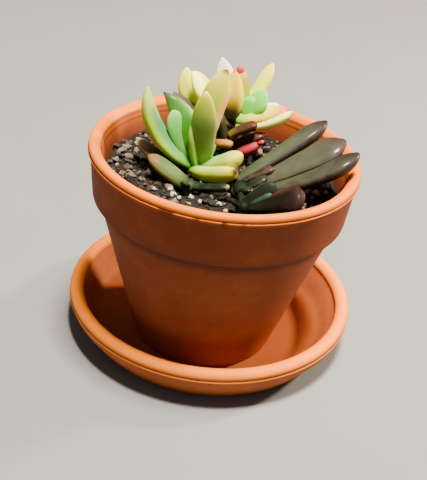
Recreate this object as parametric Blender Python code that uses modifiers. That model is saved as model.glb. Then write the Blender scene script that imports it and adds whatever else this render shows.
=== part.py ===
"""A potted echeveria: six small rosettes in a terracotta pot that stands on its saucer.

Sizes are millimetres, made metres where a mesh is built. The origin is the middle of the
saucer's foot on the ground, with +X to the right and -Y towards the viewer. The pot stands off
the saucer's middle and leans a little, as it does on the real object, so it hangs from an empty,
pot_seat, and so does the soil that fills it.
"""
import math
import random
from collections import namedtuple

import bmesh
import bpy
from mathutils import Euler, Matrix, Vector

MM = 0.001
OBJECT_NAME = "potted_echeveria"
TURN_STEPS = 48
MERGE_DISTANCE = 0.00001
SLIVER = 0.00003
SEAT_GAP = 0.3

# Terracotta colours and finishes
TERRACOTTA = (0.62, 0.27, 0.12)
SAUCER_CLAY = (0.66, 0.30, 0.14)
SOIL = (0.045, 0.036, 0.03)
EARTHENWARE_ROUGHNESS = 0.8

# Saucer: lip, bead under the lip, foot and floor
SAUCER_FLOOR = 5.2
SAUCER_FLOOR_RADIUS = 50.5
SAUCER_LIP_HEIGHT = 16.2
SAUCER_LIP_RADIUS = 60.0
SAUCER_LIP_ROUND = 3.2
SAUCER_GROOVE = (60.3, 12.2)
SAUCER_BEAD = (60.7, 10.6)
SAUCER_FOOT_RADIUS = 55.0
SAUCER_FOOT_ROUND = 2.0

# Pot, in its own frame from the middle of its base
POT_HEIGHT = 88.0
POT_BASE_RADIUS = 30.2
POT_WAIST_RADIUS = 49.5
POT_COLLAR_LOW_RADIUS = 52.4
POT_COLLAR_TOP_RADIUS = 54.3
POT_COLLAR_BOTTOM = 65.0
POT_LIP_RADIUS = 53.4
POT_LIP_ROUND = 1.6
POT_LIP_DEPTH = 3.9
POT_LIP_FALL = (3.6, 4.2)
POT_WALL = 4.6
POT_FLOOR = 6.0
DRAIN_RADIUS = 5.5
POT_OFFSET = (-2.0, -11.7)
POT_LEAN = (-0.8, 1.13)
BASE_SPARE = 1.8

# Soil, in the pot's frame
SOIL_LEVEL = 75.2
SOIL_GAP = 0.35
SOIL_SIDES = 36
SOIL_RINGS = 15
SOIL_WALL_RINGS = 3
SOIL_RELIEF = 0.7
HOLLOW_RADIUS = 9.5
HOLLOW_DEPTH = 2.2
LUMP_COUNT = 60
LUMP_CLEAR = 10.5
LUMP_SEED = 12

# Plants
LEAF_SIDES = 8
LEAF_RINGS = 8
LEAF_TOP_FLATNESS = 0.7
ARC_STEPS = 40
STEM_DEPTH = 7.0
STEM_HOLE_GAP = 0.4

# Where a leaf is widest along its length, how sharp its tip is, and the width of its foot
LeafForm = namedtuple("LeafForm", "widest sharpness foot")
LEAF_FORMS = {
    "finger": LeafForm(0.60, 0.35, 0.55),
    "spear": LeafForm(0.52, 0.85, 0.60),
    "blade": LeafForm(0.50, 0.60, 0.62),
    "paddle": LeafForm(0.74, 0.40, 0.50),
    "thumb": LeafForm(0.62, 0.10, 0.60),
    "spoon": LeafForm(0.68, 0.00, 0.50),
    "stub": LeafForm(0.50, 0.00, 0.80),
    "club": LeafForm(0.72, 0.00, 0.62),
}

Leaf = namedtuple("Leaf", "form heading rise length width thickness bend sway roll root")
Plant = namedtuple("Plant", "name colour roughness crown knob stem leaves")


def leaf(form, heading, rise, length, width, thickness, bend=0, sway=0, roll=0, root=(0, 0, 0)):
    """A leaf's chord points at heading (0 is right, 90 away) and rise; root is from the crown."""
    return Leaf(form, heading, rise, length, width, thickness, bend, sway, roll, root)


PLANTS = [
    Plant(
        "green_rosette", colour=(0.36, 0.52, 0.17), roughness=0.45,
        crown=(-12, -9.5, 84.5), knob=(3.6, 3.6, 3.4), stem=3.0,
        leaves=[
            leaf("finger", -173, 56, 41.0, 9.6, 6.0, bend=68, roll=-25),
            leaf("spear", 153, 55, 34.0, 10.0, 5.2, bend=-62, roll=-40),
            leaf("thumb", 172, 62, 24.0, 7.6, 5.2, bend=12, roll=-25),
            leaf("finger", 140, 67, 16.5, 5.2, 4.2, bend=5),
            leaf("finger", 165, 40, 21.0, 4.8, 3.6, bend=15),
            leaf("blade", -105, 84, 33.5, 10.8, 6.5, bend=4, root=(2.6, -1, 0)),
            leaf("paddle", 36, 75, 40.5, 10.8, 6.0, bend=-18, roll=45),
            leaf("paddle", -24, 29, 23.5, 9.6, 8.2, bend=20),
            leaf("finger", -38, 27, 27.0, 8.6, 6.8, bend=35, root=(-1.8, -1, -2.4)),
            leaf("stub", -155, 15, 8.5, 4.8, 4.6),
            leaf("finger", 95, 40, 17.0, 5.5, 4.0, bend=25),
            leaf("finger", 48, 28, 12.0, 4.6, 3.6, bend=20),
        ],
    ),
    Plant(
        "olive_rosette", colour=(0.30, 0.30, 0.12), roughness=0.5,
        crown=(-13, -25.5, 82.5), knob=(2.8, 2.8, 2.4), stem=2.2,
        leaves=[
            leaf("stub", 162, 25, 21.0, 8.0, 6.5, roll=-15),
            leaf("finger", 143, 20, 31.5, 5.4, 4.2),
            leaf("finger", -20, 18, 17.0, 5.0, 4.0, bend=10),
            leaf("finger", -120, 35, 7.0, 3.4, 2.8, bend=10),
        ],
    ),
    Plant(
        "cream_rosette", colour=(0.80, 0.74, 0.46), roughness=0.42,
        crown=(3, 14, 93.5), knob=(3.2, 3.2, 3.4), stem=2.4,
        leaves=[
            leaf("thumb", 178, 42, 36.5, 9.6, 5.6, bend=100, roll=-35),
            leaf("paddle", -169, 47, 30.5, 12.0, 6.0, bend=22, roll=-30),
            leaf("spear", 164, 72, 29.5, 12.0, 6.8, roll=-60),
            leaf("finger", -114, 70, 27.5, 9.0, 5.8, bend=10),
            leaf("thumb", 138, 77, 25.0, 7.2, 5.6, root=(3.2, 1, 0)),
            leaf("finger", 32, 61, 29.5, 7.8, 5.4, bend=10),
            leaf("spoon", -28, 54, 22.0, 11.4, 5.0, roll=50, root=(0, 0.5, 0.5)),
            leaf("finger", 8, 36, 17.5, 5.4, 4.6),
            leaf("finger", -17, 33, 24.5, 9.4, 7.8, bend=10, roll=15),
            leaf("thumb", -5, 25, 26.0, 6.2, 5.6, bend=30, root=(0, 0, -3)),
            leaf("finger", 62, 30, 21.0, 6.4, 4.6, bend=25),
            leaf("paddle", 100, 42, 23.0, 7.4, 4.8, bend=25),
            leaf("finger", 136, 24, 20.0, 6.0, 4.4, bend=35),
        ],
    ),
    Plant(
        "maroon_rosette", colour=(0.24, 0.09, 0.05), roughness=0.45,
        crown=(0, 4, 87), knob=(3.0, 3.0, 5.5), stem=2.4,
        leaves=[
            leaf("thumb", 6, 28, 13.0, 5.4, 5.2, bend=-25, root=(0, 0, 4)),
            leaf("thumb", 7, 24, 19.0, 6.0, 5.0),
            leaf("stub", -8, 6, 10.0, 4.2, 4.4, root=(-6.5, -2.5, 2.8)),
            leaf("thumb", -16, 8, 15.0, 6.4, 6.0, bend=15, root=(0, 0, 0.8)),
            leaf("finger", -173, 48, 24.0, 7.6, 5.0, roll=-20),
            leaf("finger", 180, 72, 18.5, 6.2, 5.0),
        ],
    ),
    Plant(
        "dark_rosette", colour=(0.15, 0.14, 0.10), roughness=0.38,
        crown=(8, -24, 83.5), knob=(4.0, 5.2, 2.6), stem=3.0,
        leaves=[
            leaf("club", 38, 22, 47.0, 9.4, 7.8, bend=8, root=(-3, 5, 0.5)),
            leaf("club", 17, 26.5, 44.5, 12.6, 7.6, bend=5, roll=15),
            leaf("club", 11, 22, 48.5, 10.4, 8.0, bend=15, sway=40, root=(0, -2, -0.5)),
            leaf("thumb", 14, 25, 15.5, 4.8, 4.4, root=(-2.5, 2, 1.5)),
            leaf("thumb", -2, 35, 11.0, 6.0, 4.0),
            leaf("finger", 128, 34, 5.5, 2.6, 2.6, root=(-1.6, 4, 0.5)),
            leaf("thumb", -72, 24, 9.5, 5.6, 4.0, bend=20),
        ],
    ),
    Plant(
        "dark_pup", colour=(0.17, 0.13, 0.09), roughness=0.42,
        crown=(9, -37, 82.5), knob=(2.8, 2.8, 2.4), stem=2.2,
        leaves=[
            leaf("thumb", -11, 26, 24.5, 11.4, 9.2, bend=10),
            leaf("spoon", 15, 40, 15.0, 7.6, 4.2, bend=10, roll=50),
            leaf("finger", 6, 38, 12.0, 4.0, 3.0, bend=10),
            leaf("finger", 185, 30, 6.5, 3.6, 2.8, bend=15),
            leaf("finger", 110, 34, 6.5, 3.4, 2.6, bend=15),
        ],
    ),
]


def clear_scene():
    for obj in list(bpy.data.objects):
        bpy.data.objects.remove(obj, do_unlink=True)


def new_collection(name):
    collection = bpy.data.collections.new(name)
    bpy.context.scene.collection.children.link(collection)
    return collection


def principled(name, colour, roughness):
    material = bpy.data.materials.new(name)
    material.use_nodes = True
    shader = material.node_tree.nodes["Principled BSDF"]
    shader.inputs["Base Color"].default_value = (*colour, 1.0)
    shader.inputs["Roughness"].default_value = roughness
    shader.inputs["Metallic"].default_value = 0.0
    return material


def add_object(name, bm, collection, material=None):
    """Turn a bmesh in millimetres into an object in metres."""
    bmesh.ops.scale(bm, vec=(MM, MM, MM), verts=bm.verts)
    mesh = bpy.data.meshes.new(name)
    bm.to_mesh(mesh)
    bm.free()
    obj = bpy.data.objects.new(name, mesh)
    collection.objects.link(obj)
    if material:
        mesh.materials.append(material)
    return obj


def mark_cutter(obj):
    obj.hide_render = True
    obj.display_type = "WIRE"
    return obj


def modify(obj, kind, **settings):
    modifier = obj.modifiers.new(kind.title(), kind)
    for setting, value in settings.items():
        setattr(modifier, setting, value)
    return modifier


def arc(centre, radius, start, end, count):
    """Points on an arc from start to end degrees, 0 pointing outwards and 90 up."""
    angles = [math.radians(start + (end - start) * i / (count - 1)) for i in range(count)]
    return [(centre[0] + radius * math.cos(a), centre[1] + radius * math.sin(a)) for a in angles]


def turned(name, outline, closed, collection, material):
    """Spin an outline of (radius, height) points that runs down its outer side."""
    bm = bmesh.new()
    points = [bm.verts.new((radius, 0, height)) for radius, height in outline]
    for first, second in zip(points, points[1:]):
        bm.edges.new((first, second))
    if closed:
        bm.edges.new((points[-1], points[0]))
    obj = add_object(name, bm, collection, material)
    modify(obj, "SCREW", steps=TURN_STEPS, render_steps=TURN_STEPS, use_merge_vertices=True,
           merge_threshold=MERGE_DISTANCE, use_smooth_shade=True)
    return obj


def saucer_outline():
    lip = (SAUCER_LIP_RADIUS, SAUCER_LIP_HEIGHT)
    foot_centre = (SAUCER_FOOT_RADIUS - SAUCER_FOOT_ROUND, SAUCER_FOOT_ROUND)
    return [
        (0, SAUCER_FLOOR),
        (SAUCER_FLOOR_RADIUS, SAUCER_FLOOR),
        (SAUCER_FLOOR_RADIUS + 3.4, SAUCER_FLOOR + 2.6),
        *arc(lip, SAUCER_LIP_ROUND, 195, -40, 8),
        SAUCER_GROOVE,
        SAUCER_BEAD,
        (SAUCER_BEAD[0] - 0.8, SAUCER_BEAD[1] - 1.4),
        *arc(foot_centre, SAUCER_FOOT_ROUND, -20, -90, 3),
        (0, 0),
    ]


def pot_radius_at(height):
    """Outer radius of the pot's body below its collar."""
    return POT_BASE_RADIUS + (POT_WAIST_RADIUS - POT_BASE_RADIUS) * height / POT_COLLAR_BOTTOM


def pot_bore_at(height):
    """Inner radius of the pot between its floor and its lip."""
    low = pot_radius_at(POT_FLOOR) - POT_WALL
    high = POT_LIP_RADIUS - POT_LIP_FALL[0]
    share = (height - POT_FLOOR) / (POT_HEIGHT - POT_LIP_FALL[1] - POT_FLOOR)
    return low + (high - low) * share


def pot_outline():
    lip = (POT_LIP_RADIUS, POT_HEIGHT - POT_LIP_ROUND)
    inward, down = POT_LIP_FALL
    slope = arc((0, 0), 1.0, 180, 112, 4)
    return [
        *[(POT_LIP_RADIUS + inward * x, POT_HEIGHT + down * (z - 1)) for x, z in slope],
        *arc(lip, POT_LIP_ROUND, 90, 0, 4),
        (POT_LIP_RADIUS + POT_LIP_ROUND + 0.1, POT_HEIGHT - POT_LIP_DEPTH + 0.8),
        (POT_COLLAR_TOP_RADIUS, POT_HEIGHT - POT_LIP_DEPTH),
        (POT_COLLAR_LOW_RADIUS, POT_COLLAR_BOTTOM + 1.4),
        (POT_COLLAR_LOW_RADIUS - 1.1, POT_COLLAR_BOTTOM + 0.2),
        (POT_WAIST_RADIUS, POT_COLLAR_BOTTOM - 0.8),
        (pot_radius_at(-BASE_SPARE), -BASE_SPARE),
        (DRAIN_RADIUS, -BASE_SPARE),
        (DRAIN_RADIUS, POT_FLOOR),
        (pot_bore_at(POT_FLOOR) - 3.0, POT_FLOOR),
        (pot_bore_at(POT_FLOOR + 3.0), POT_FLOOR + 3.0),
    ]


def seat_empty(collection):
    seat = bpy.data.objects.new("pot_seat", None)
    collection.objects.link(seat)
    seat.location = Vector((*POT_OFFSET, SAUCER_FLOOR + SEAT_GAP)) * MM
    seat.rotation_euler = [math.radians(angle) for angle in (*POT_LEAN, 0)]
    return seat


def seat_matrix():
    """The pot's frame in millimetres."""
    place = Matrix.Translation((*POT_OFFSET, SAUCER_FLOOR + SEAT_GAP))
    return place @ Euler([math.radians(angle) for angle in (*POT_LEAN, 0)]).to_matrix().to_4x4()


def make_pot(parts, cutters, seat):
    """The leaning pot, with its base cut level so that all of it stands on the saucer's floor."""
    clay = principled("terracotta", TERRACOTTA, EARTHENWARE_ROUGHNESS)
    pot = turned("pot", pot_outline(), True, parts, clay)
    pot.parent = seat
    depth = 3 * BASE_SPARE
    bm = bmesh.new()
    bmesh.ops.create_cube(bm, size=1.0)
    bmesh.ops.scale(bm, vec=(3 * POT_BASE_RADIUS, 3 * POT_BASE_RADIUS, depth), verts=bm.verts)
    bmesh.ops.translate(bm, vec=(*POT_OFFSET, SAUCER_FLOOR + SEAT_GAP - depth / 2), verts=bm.verts)
    cutter = mark_cutter(add_object("base_cutter", bm, cutters))
    modify(pot, "BOOLEAN", operation="DIFFERENCE", object=cutter, solver="EXACT")
    return pot


def soil_height(x, y, hollows):
    """Height of the soil in the pot's frame: low waves, with a hollow round each stem."""
    waves = math.sin(x * 0.31 + 1.0) * math.cos(y * 0.27) + 0.6 * math.sin(x * 0.73 - y * 0.55)
    height = SOIL_LEVEL + SOIL_RELIEF * waves
    for centre in hollows:
        distance = math.hypot(x - centre.x, y - centre.y) / HOLLOW_RADIUS
        if distance < 1:
            height -= HOLLOW_DEPTH * (1 - distance * distance) ** 1.5
    return height


def soil_body(hollows):
    """A sphere's rings moved to the soil's surface, its side along the pot's bore, and its bottom."""
    bm = bmesh.new()
    bmesh.ops.create_uvsphere(bm, u_segments=SOIL_SIDES, v_segments=SOIL_RINGS, radius=1.0)
    bottom = POT_FLOOR + SOIL_GAP
    surface_rings = SOIL_RINGS - 1 - SOIL_WALL_RINGS
    edge = pot_bore_at(SOIL_LEVEL) - SOIL_GAP / math.cos(math.pi / SOIL_SIDES) - 0.4
    for vert in bm.verts:
        ring = round(math.acos(max(-1.0, min(1.0, vert.co.z))) / math.pi * SOIL_RINGS)
        angle = math.atan2(vert.co.y, vert.co.x)
        if ring <= surface_rings:
            radius = edge * ring / surface_rings
            x, y = radius * math.cos(angle), radius * math.sin(angle)
            vert.co = (x, y, soil_height(x, y, hollows))
        elif ring < SOIL_RINGS:
            share = (ring - surface_rings) / SOIL_WALL_RINGS
            height = (SOIL_LEVEL - 4) * (1 - share) + (bottom + 4) * share
            radius = pot_bore_at(height) - 0.8
            vert.co = (radius * math.cos(angle), radius * math.sin(angle), height)
        else:
            vert.co = (0, 0, bottom)
    return bm


def lump_places(stems):
    """Places of bark and perlite lumps in the pot's frame, spread by the golden angle."""
    draw = random.Random(LUMP_SEED)
    reach = pot_bore_at(SOIL_LEVEL) - 5.0
    for index in range(LUMP_COUNT):
        radius = reach * math.sqrt((index + 0.5) / LUMP_COUNT)
        angle = index * math.radians(137.5) + draw.uniform(-0.2, 0.2)
        x, y = radius * math.cos(angle), radius * math.sin(angle)
        size = draw.uniform(1.2, 2.3)
        stretch = Vector((draw.uniform(0.8, 1.5), draw.uniform(0.8, 1.2), draw.uniform(0.6, 0.9)))
        turn = draw.uniform(0, math.pi)
        if all(math.hypot(x - stem.x, y - stem.y) > LUMP_CLEAR for stem in stems):
            yield x, y, size, stretch, turn


def make_soil(parts, cutters, seat):
    """Gritty soil with fused lumps, and a plain hole for each plant's stem."""
    to_pot = seat_matrix().inverted()
    crowns = [to_pot @ Vector(plant.crown) for plant in PLANTS]
    material = principled("soil", SOIL, 0.95)
    soil = add_object("soil", soil_body(crowns), parts, material)
    soil.parent = seat
    lumps = bpy.data.collections.new("soil_lumps")
    for x, y, size, stretch, turn in lump_places(crowns):
        bm = bmesh.new()
        bmesh.ops.create_icosphere(bm, subdivisions=1, radius=size)
        bmesh.ops.scale(bm, vec=stretch, verts=bm.verts)
        bmesh.ops.rotate(bm, cent=(0, 0, 0), matrix=Matrix.Rotation(turn, 3, "Z"), verts=bm.verts)
        bmesh.ops.translate(bm, vec=(x, y, soil_height(x, y, crowns) + 0.1), verts=bm.verts)
        bmesh.ops.transform(bm, matrix=seat_matrix(), verts=bm.verts)
        add_object("soil_lump", bm, lumps)
    join_into(soil, lumps, "MANIFOLD")
    for plant in PLANTS:
        hole = stem_mesh(plant, plant.stem + STEM_HOLE_GAP, STEM_DEPTH + STEM_HOLE_GAP)
        cutter = mark_cutter(add_object(plant.name + "_hole", hole, cutters))
        modify(soil, "BOOLEAN", operation="DIFFERENCE", object=cutter, solver="EXACT")
    return soil


def join_into(obj, collection, solver="EXACT"):
    """Fuse every object of a collection into obj, apply the union, and remove them."""
    modifier = modify(obj, "BOOLEAN", operation="UNION", operand_type="COLLECTION", collection=collection,
                      solver=solver)
    bpy.context.view_layer.update()
    fused = bpy.data.meshes.new_from_object(obj.evaluated_get(bpy.context.evaluated_depsgraph_get()))
    obj.modifiers.remove(modifier)
    obj.data = fused
    bm = bmesh.new()
    bm.from_mesh(fused)
    bmesh.ops.triangulate(bm, faces=bm.faces)
    bmesh.ops.remove_doubles(bm, verts=bm.verts, dist=SLIVER)
    bmesh.ops.dissolve_degenerate(bm, edges=bm.edges, dist=SLIVER)
    bm.to_mesh(fused)
    bm.free()
    for member in list(collection.objects):
        bpy.data.objects.remove(member, do_unlink=True)
    bpy.data.collections.remove(collection)


def leaf_half_width(form, share):
    """Half width at a share of the leaf's length, where 1 is its widest."""
    if share <= form.widest:
        from_widest = 1 - share / form.widest
        return form.foot + (1 - form.foot) * math.sqrt(max(0.0, 1 - from_widest ** 2))
    past_widest = (share - form.widest) / (1 - form.widest)
    rounded = math.sqrt(max(0.0, 1 - past_widest ** 2))
    pointed = 1 - past_widest ** 1.6
    return rounded * (1 - form.sharpness) + pointed * form.sharpness


def leaf_axes(spec, share):
    """Directions along the leaf, across it and out of its face at a share of its length."""
    heading = math.radians(spec.heading) + math.radians(spec.sway) * (share - 0.5)
    rise = math.radians(spec.rise) + math.radians(spec.bend) * (share - 0.5)
    level = Vector((math.cos(heading), math.sin(heading), 0))
    along = level * math.cos(rise) + Vector((0, 0, 1)) * math.sin(rise)
    across = Vector((-level.y, level.x, 0))
    face = along.cross(across)
    roll = math.radians(spec.roll)
    rolled_across = across * math.cos(roll) + face * math.sin(roll)
    rolled_face = face * math.cos(roll) - across * math.sin(roll)
    return along, rolled_across, rolled_face


def leaf_spine(spec, root):
    """Points down the middle of a leaf that bends along an arc."""
    points = [Vector(root)]
    for step in range(ARC_STEPS):
        along = leaf_axes(spec, (step + 0.5) / ARC_STEPS)[0]
        points.append(points[-1] + along * spec.length / ARC_STEPS)
    return points


def leaf_mesh(spec, crown):
    """A fleshy leaf: a sphere drawn out along its spine, flatter on its upper face."""
    form = LEAF_FORMS[spec.form]
    spine = leaf_spine(spec, Vector(crown) + Vector(spec.root))
    bm = bmesh.new()
    bmesh.ops.create_uvsphere(bm, u_segments=LEAF_SIDES, v_segments=LEAF_RINGS, radius=1.0)
    for vert in bm.verts:
        share = min(max((1 + vert.co.z) / 2, 0.0), 1.0)
        place = min(share * ARC_STEPS, ARC_STEPS - 0.001)
        middle = spine[int(place)].lerp(spine[int(place) + 1], place - int(place))
        ring = math.hypot(vert.co.x, vert.co.y)
        if ring < 0.001:
            vert.co = middle
            continue
        half = leaf_half_width(form, share)
        across_share, face_share = vert.co.x / ring, vert.co.y / ring
        if face_share > 0:
            face_share *= LEAF_TOP_FLATNESS
        along, across, face = leaf_axes(spec, share)
        vert.co = (middle + across * across_share * half * spec.width / 2
                   + face * face_share * half * spec.thickness / 2)
    bmesh.ops.recalc_face_normals(bm, faces=bm.faces)
    return bm


def stem_mesh(plant, radius, depth):
    """An upright cylinder from the crown down into the soil."""
    crown = Vector(plant.crown)
    ground = seat_matrix() @ Vector((0, 0, SOIL_LEVEL))
    bottom = ground.z - depth - HOLLOW_DEPTH
    bm = bmesh.new()
    height = crown.z - bottom
    bmesh.ops.create_cone(bm, cap_ends=True, segments=10, radius1=radius, radius2=radius, depth=height)
    bmesh.ops.translate(bm, vec=(crown.x, crown.y, bottom + height / 2), verts=bm.verts)
    return bm


def make_plant(plant, parts):
    """One rosette: a stem with a swollen crown and every leaf fused to it."""
    material = principled(plant.name, plant.colour, plant.roughness)
    rosette = add_object(plant.name, stem_mesh(plant, plant.stem, STEM_DEPTH), parts, material)
    pieces = bpy.data.collections.new(plant.name + "_pieces")
    knob = bmesh.new()
    bmesh.ops.create_uvsphere(knob, u_segments=10, v_segments=8, radius=1.0)
    bmesh.ops.scale(knob, vec=plant.knob, verts=knob.verts)
    bmesh.ops.translate(knob, vec=plant.crown, verts=knob.verts)
    add_object("crown", knob, pieces)
    for spec in plant.leaves:
        add_object("leaf", leaf_mesh(spec, plant.crown), pieces)
    join_into(rosette, pieces)
    return rosette


def build():
    clear_scene()
    parts = new_collection(OBJECT_NAME)
    cutters = new_collection("cutters")
    seat = seat_empty(parts)
    saucer_clay = principled("saucer_clay", SAUCER_CLAY, EARTHENWARE_ROUGHNESS)
    turned("saucer", saucer_outline(), False, parts, saucer_clay)
    make_pot(parts, cutters, seat)
    make_soil(parts, cutters, seat)
    for plant in PLANTS:
        make_plant(plant, parts)
    bpy.context.view_layer.update()


build()
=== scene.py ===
# %% [markdown]
# # A potted echeveria in a terracotta pot
#
# Six small rosettes of fleshy leaves share one clay pot that stands on its saucer. The packed
# model comes in as a frame and says where everything sits. The lesson then turns the clay,
# fills the pot with gritty mix, and grows each leaf from one table of plain numbers.

# %% Load the frame
import math
import random
from collections import namedtuple

import bmesh
import bpy
from mathutils import Euler, Matrix, Vector, noise


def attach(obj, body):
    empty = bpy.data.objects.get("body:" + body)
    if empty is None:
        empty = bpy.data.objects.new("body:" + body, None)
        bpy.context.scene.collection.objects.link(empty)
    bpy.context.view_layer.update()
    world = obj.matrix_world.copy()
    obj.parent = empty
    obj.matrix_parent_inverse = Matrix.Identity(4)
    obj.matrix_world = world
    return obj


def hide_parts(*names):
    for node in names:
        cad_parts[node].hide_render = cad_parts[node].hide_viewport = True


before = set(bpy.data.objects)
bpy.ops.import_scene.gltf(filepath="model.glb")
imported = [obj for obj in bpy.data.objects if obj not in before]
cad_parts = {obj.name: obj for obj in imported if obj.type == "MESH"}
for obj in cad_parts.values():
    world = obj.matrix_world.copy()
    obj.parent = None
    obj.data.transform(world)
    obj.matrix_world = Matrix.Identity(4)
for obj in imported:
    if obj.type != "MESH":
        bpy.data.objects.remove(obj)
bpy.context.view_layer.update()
print("nodes:", ", ".join(sorted(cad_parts)))

# %% [markdown]
# ## Units and colours
#
# Shapes are worked out in millimetres, which suit a plant this small, and become metres as each
# mesh is finished. Colours are written as the bytes that a paint program shows, so a small
# function turns them into the linear values that Blender's shaders work in.

# %% Units and colours
MM = 0.001


def linear(byte):
    value = byte / 255
    return value / 12.92 if value <= 0.04045 else ((value + 0.055) / 1.055) ** 2.4


def paint(red, green, blue):
    return (linear(red), linear(green), linear(blue), 1.0)


def blend(first, second, share):
    """A colour part of the way from first to second."""
    share = min(max(share, 0.0), 1.0)
    return tuple(a + (b - a) * share for a, b in zip(first, second))


def ease(low, high, value):
    """0 below low, 1 above high, and a smooth step between; low may be the larger."""
    share = min(max((value - low) / (high - low), 0.0), 1.0)
    return share * share * (3 - 2 * share)


print("fired clay in linear light:", [round(v, 3) for v in paint(190, 104, 60)])

# %% [markdown]
# ## Camera
#
# The picture was taken from a little above, about 40 cm away, with the camera rolled a few
# degrees. The camera is placed on an orbit round a point above the saucer and then turned by
# three small angles, so that each of them keeps its plain meaning. Its focal length is known in
# pixels of the picture's height, and the size of the sensor turns that into a lens.

# %% Camera
ORBIT = 417.15
ELEVATION = 31.2
AIM_HEIGHT = 50.0
YAW, PITCH, ROLL = 0.16, -0.83, 6.67
FOCAL_PIXELS = 956.8
PICTURE_HEIGHT = 480
SENSOR = 36


def turn(degrees, axis):
    return Matrix.Rotation(math.radians(degrees), 3, axis)


slope = math.radians(ELEVATION)
backwards = Vector((0, -math.cos(slope), math.sin(slope)))
rightwards = Vector((1, 0, 0))
facing = Matrix((rightwards, backwards.cross(rightwards), backwards)).transposed()
facing = facing @ turn(YAW, "Y") @ turn(PITCH, "X") @ turn(ROLL, "Z")
eye = backwards * ORBIT + Vector((0, 0, AIM_HEIGHT))

camera = bpy.data.objects.new("camera", bpy.data.cameras.new("camera"))
camera.data.sensor_width = SENSOR
camera.data.lens = SENSOR * FOCAL_PIXELS / PICTURE_HEIGHT
camera.matrix_world = Matrix.Translation(eye * MM) @ facing.to_4x4()
bpy.context.collection.objects.link(camera)
bpy.context.scene.camera = camera
print("camera at mm", [round(v) for v in eye], "lens", round(camera.data.lens, 1))

# %% [markdown]
# ## Sockets that do sums
#
# A material is a graph of nodes. Built one node at a time it is long and hard to read, so a
# small class wraps a socket and lets Python's own operators add the Math nodes. Colours and
# vectors are sent to nodes that keep all their parts. The Mix node has a set of sockets for each
# kind of value, so the numbers of its colour sockets are named first.

# %% Socket wrapper
MIX_FACTOR, MIX_FIRST, MIX_SECOND, MIX_RESULT = 0, 6, 7, 2


class Socket:
    """A node's output that can be used in ordinary sums."""

    def __init__(self, tree, out=None):
        self.tree = tree
        self.out = out

    def node(self, kind, settings=None, values=None, out=0):
        """Add a node: its settings first, then the values or links of its sockets."""
        made = self.tree.nodes.new(kind)
        for name, value in (settings or {}).items():
            setattr(made, name, value)
        for name, value in (values or {}).items():
            if isinstance(value, Socket):
                self.tree.links.new(value.out, made.inputs[name])
            else:
                made.inputs[name].default_value = value
        return Socket(self.tree, made.outputs[out])

    def sum(self, operation, first, second):
        kinds = [value.out.type for value in (first, second) if isinstance(value, Socket)]
        kind = "ShaderNodeVectorMath" if "VECTOR" in kinds else "ShaderNodeMath"
        return self.node(kind, {"operation": operation}, {0: first, 1: second})

    def __add__(self, other):
        return self.sum("ADD", self, other)

    def __sub__(self, other):
        return self.sum("SUBTRACT", self, other)

    def __rsub__(self, other):
        return self.sum("SUBTRACT", other, self)

    def __mul__(self, other):
        return self.sum("MULTIPLY", self, other)

    __radd__ = __add__
    __rmul__ = __mul__

    def step(self, low, high):
        """0 below low and 1 above high, smoothly between; low may be the larger."""
        values = {"Value": self, "From Min": low, "From Max": high}
        return self.node("ShaderNodeMapRange", {"interpolation_type": "SMOOTHSTEP"}, values)

    def mix(self, first, second):
        """Two colours mixed by this mask."""
        values = {MIX_FACTOR: self, MIX_FIRST: first, MIX_SECOND: second}
        return self.node("ShaderNodeMix", {"data_type": "RGBA"}, values, MIX_RESULT)

    def shade(self, tint):
        """A colour made lighter or darker by this number."""
        grey = self.node("ShaderNodeCombineColor", None, {0: self, 1: self, 2: self})
        settings = {"data_type": "RGBA", "blend_type": "MULTIPLY"}
        values = {MIX_FACTOR: 1.0, MIX_FIRST: tint, MIX_SECOND: grey}
        return self.node("ShaderNodeMix", settings, values, MIX_RESULT)

    def noise(self, scale, detail=2.0, roughness=0.5):
        values = {"Vector": self, "Scale": scale, "Detail": detail, "Roughness": roughness}
        return self.node("ShaderNodeTexNoise", None, values)

    def cells(self, scale):
        """The distance to the middle of the nearest cell, in cells."""
        return self.node("ShaderNodeTexVoronoi", None, {"Vector": self, "Scale": scale}, "Distance")

    def near(self, centre, radius, core=0.4):
        """1 at a place in millimetres and in the core round it, fading to 0 at the radius."""
        values = {0: self, 1: centre}
        distance = self.node("ShaderNodeVectorMath", {"operation": "DISTANCE"}, values, "Value")
        return distance.step(radius, radius * core)

    def painted(self, name, out="Fac"):
        """What the mesh carries on its points under this name."""
        return self.node("ShaderNodeAttribute", {"attribute_name": name}, out=out)


print("the wrapper adds", [n for n in dir(Socket) if not n.startswith("_")])

# %% [markdown]
# ## Starting a finish
#
# Every finish here is a Principled shader. What is the same all over a surface is set on the
# shader's own sockets, and what changes from place to place is plugged in. Patterns are laid on
# the object's own coordinates in millimetres, so that sand and fibres keep their real size.

# %% Finish helpers


def new_finish(name, **constants):
    """A Principled material with its constant sockets set, and a first Socket to build from."""
    material = bpy.data.materials.new(name)
    material.use_nodes = True
    shader = material.node_tree.nodes["Principled BSDF"]
    for socket, value in constants.items():
        shader.inputs[socket.replace("_", " ").title().replace("Ior", "IOR")].default_value = value
    return material, shader, Socket(material.node_tree)


def plug(shader, name, socket):
    socket.tree.links.new(socket.out, shader.inputs[name])


def relief(height, distance, strength=1.0):
    """A bump of a real height in millimetres."""
    values = {"Height": height, "Distance": distance * MM, "Strength": strength}
    return height.node("ShaderNodeBump", None, values, "Normal")


def millimetres(start):
    """Object coordinates in millimetres."""
    place = start.node("ShaderNodeTexCoord", out="Object")
    return place.node("ShaderNodeVectorMath", {"operation": "SCALE"}, {0: place, "Scale": 1 / MM})


print("a bump of 1 mm has a distance of", MM, "in Blender's metres")

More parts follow.
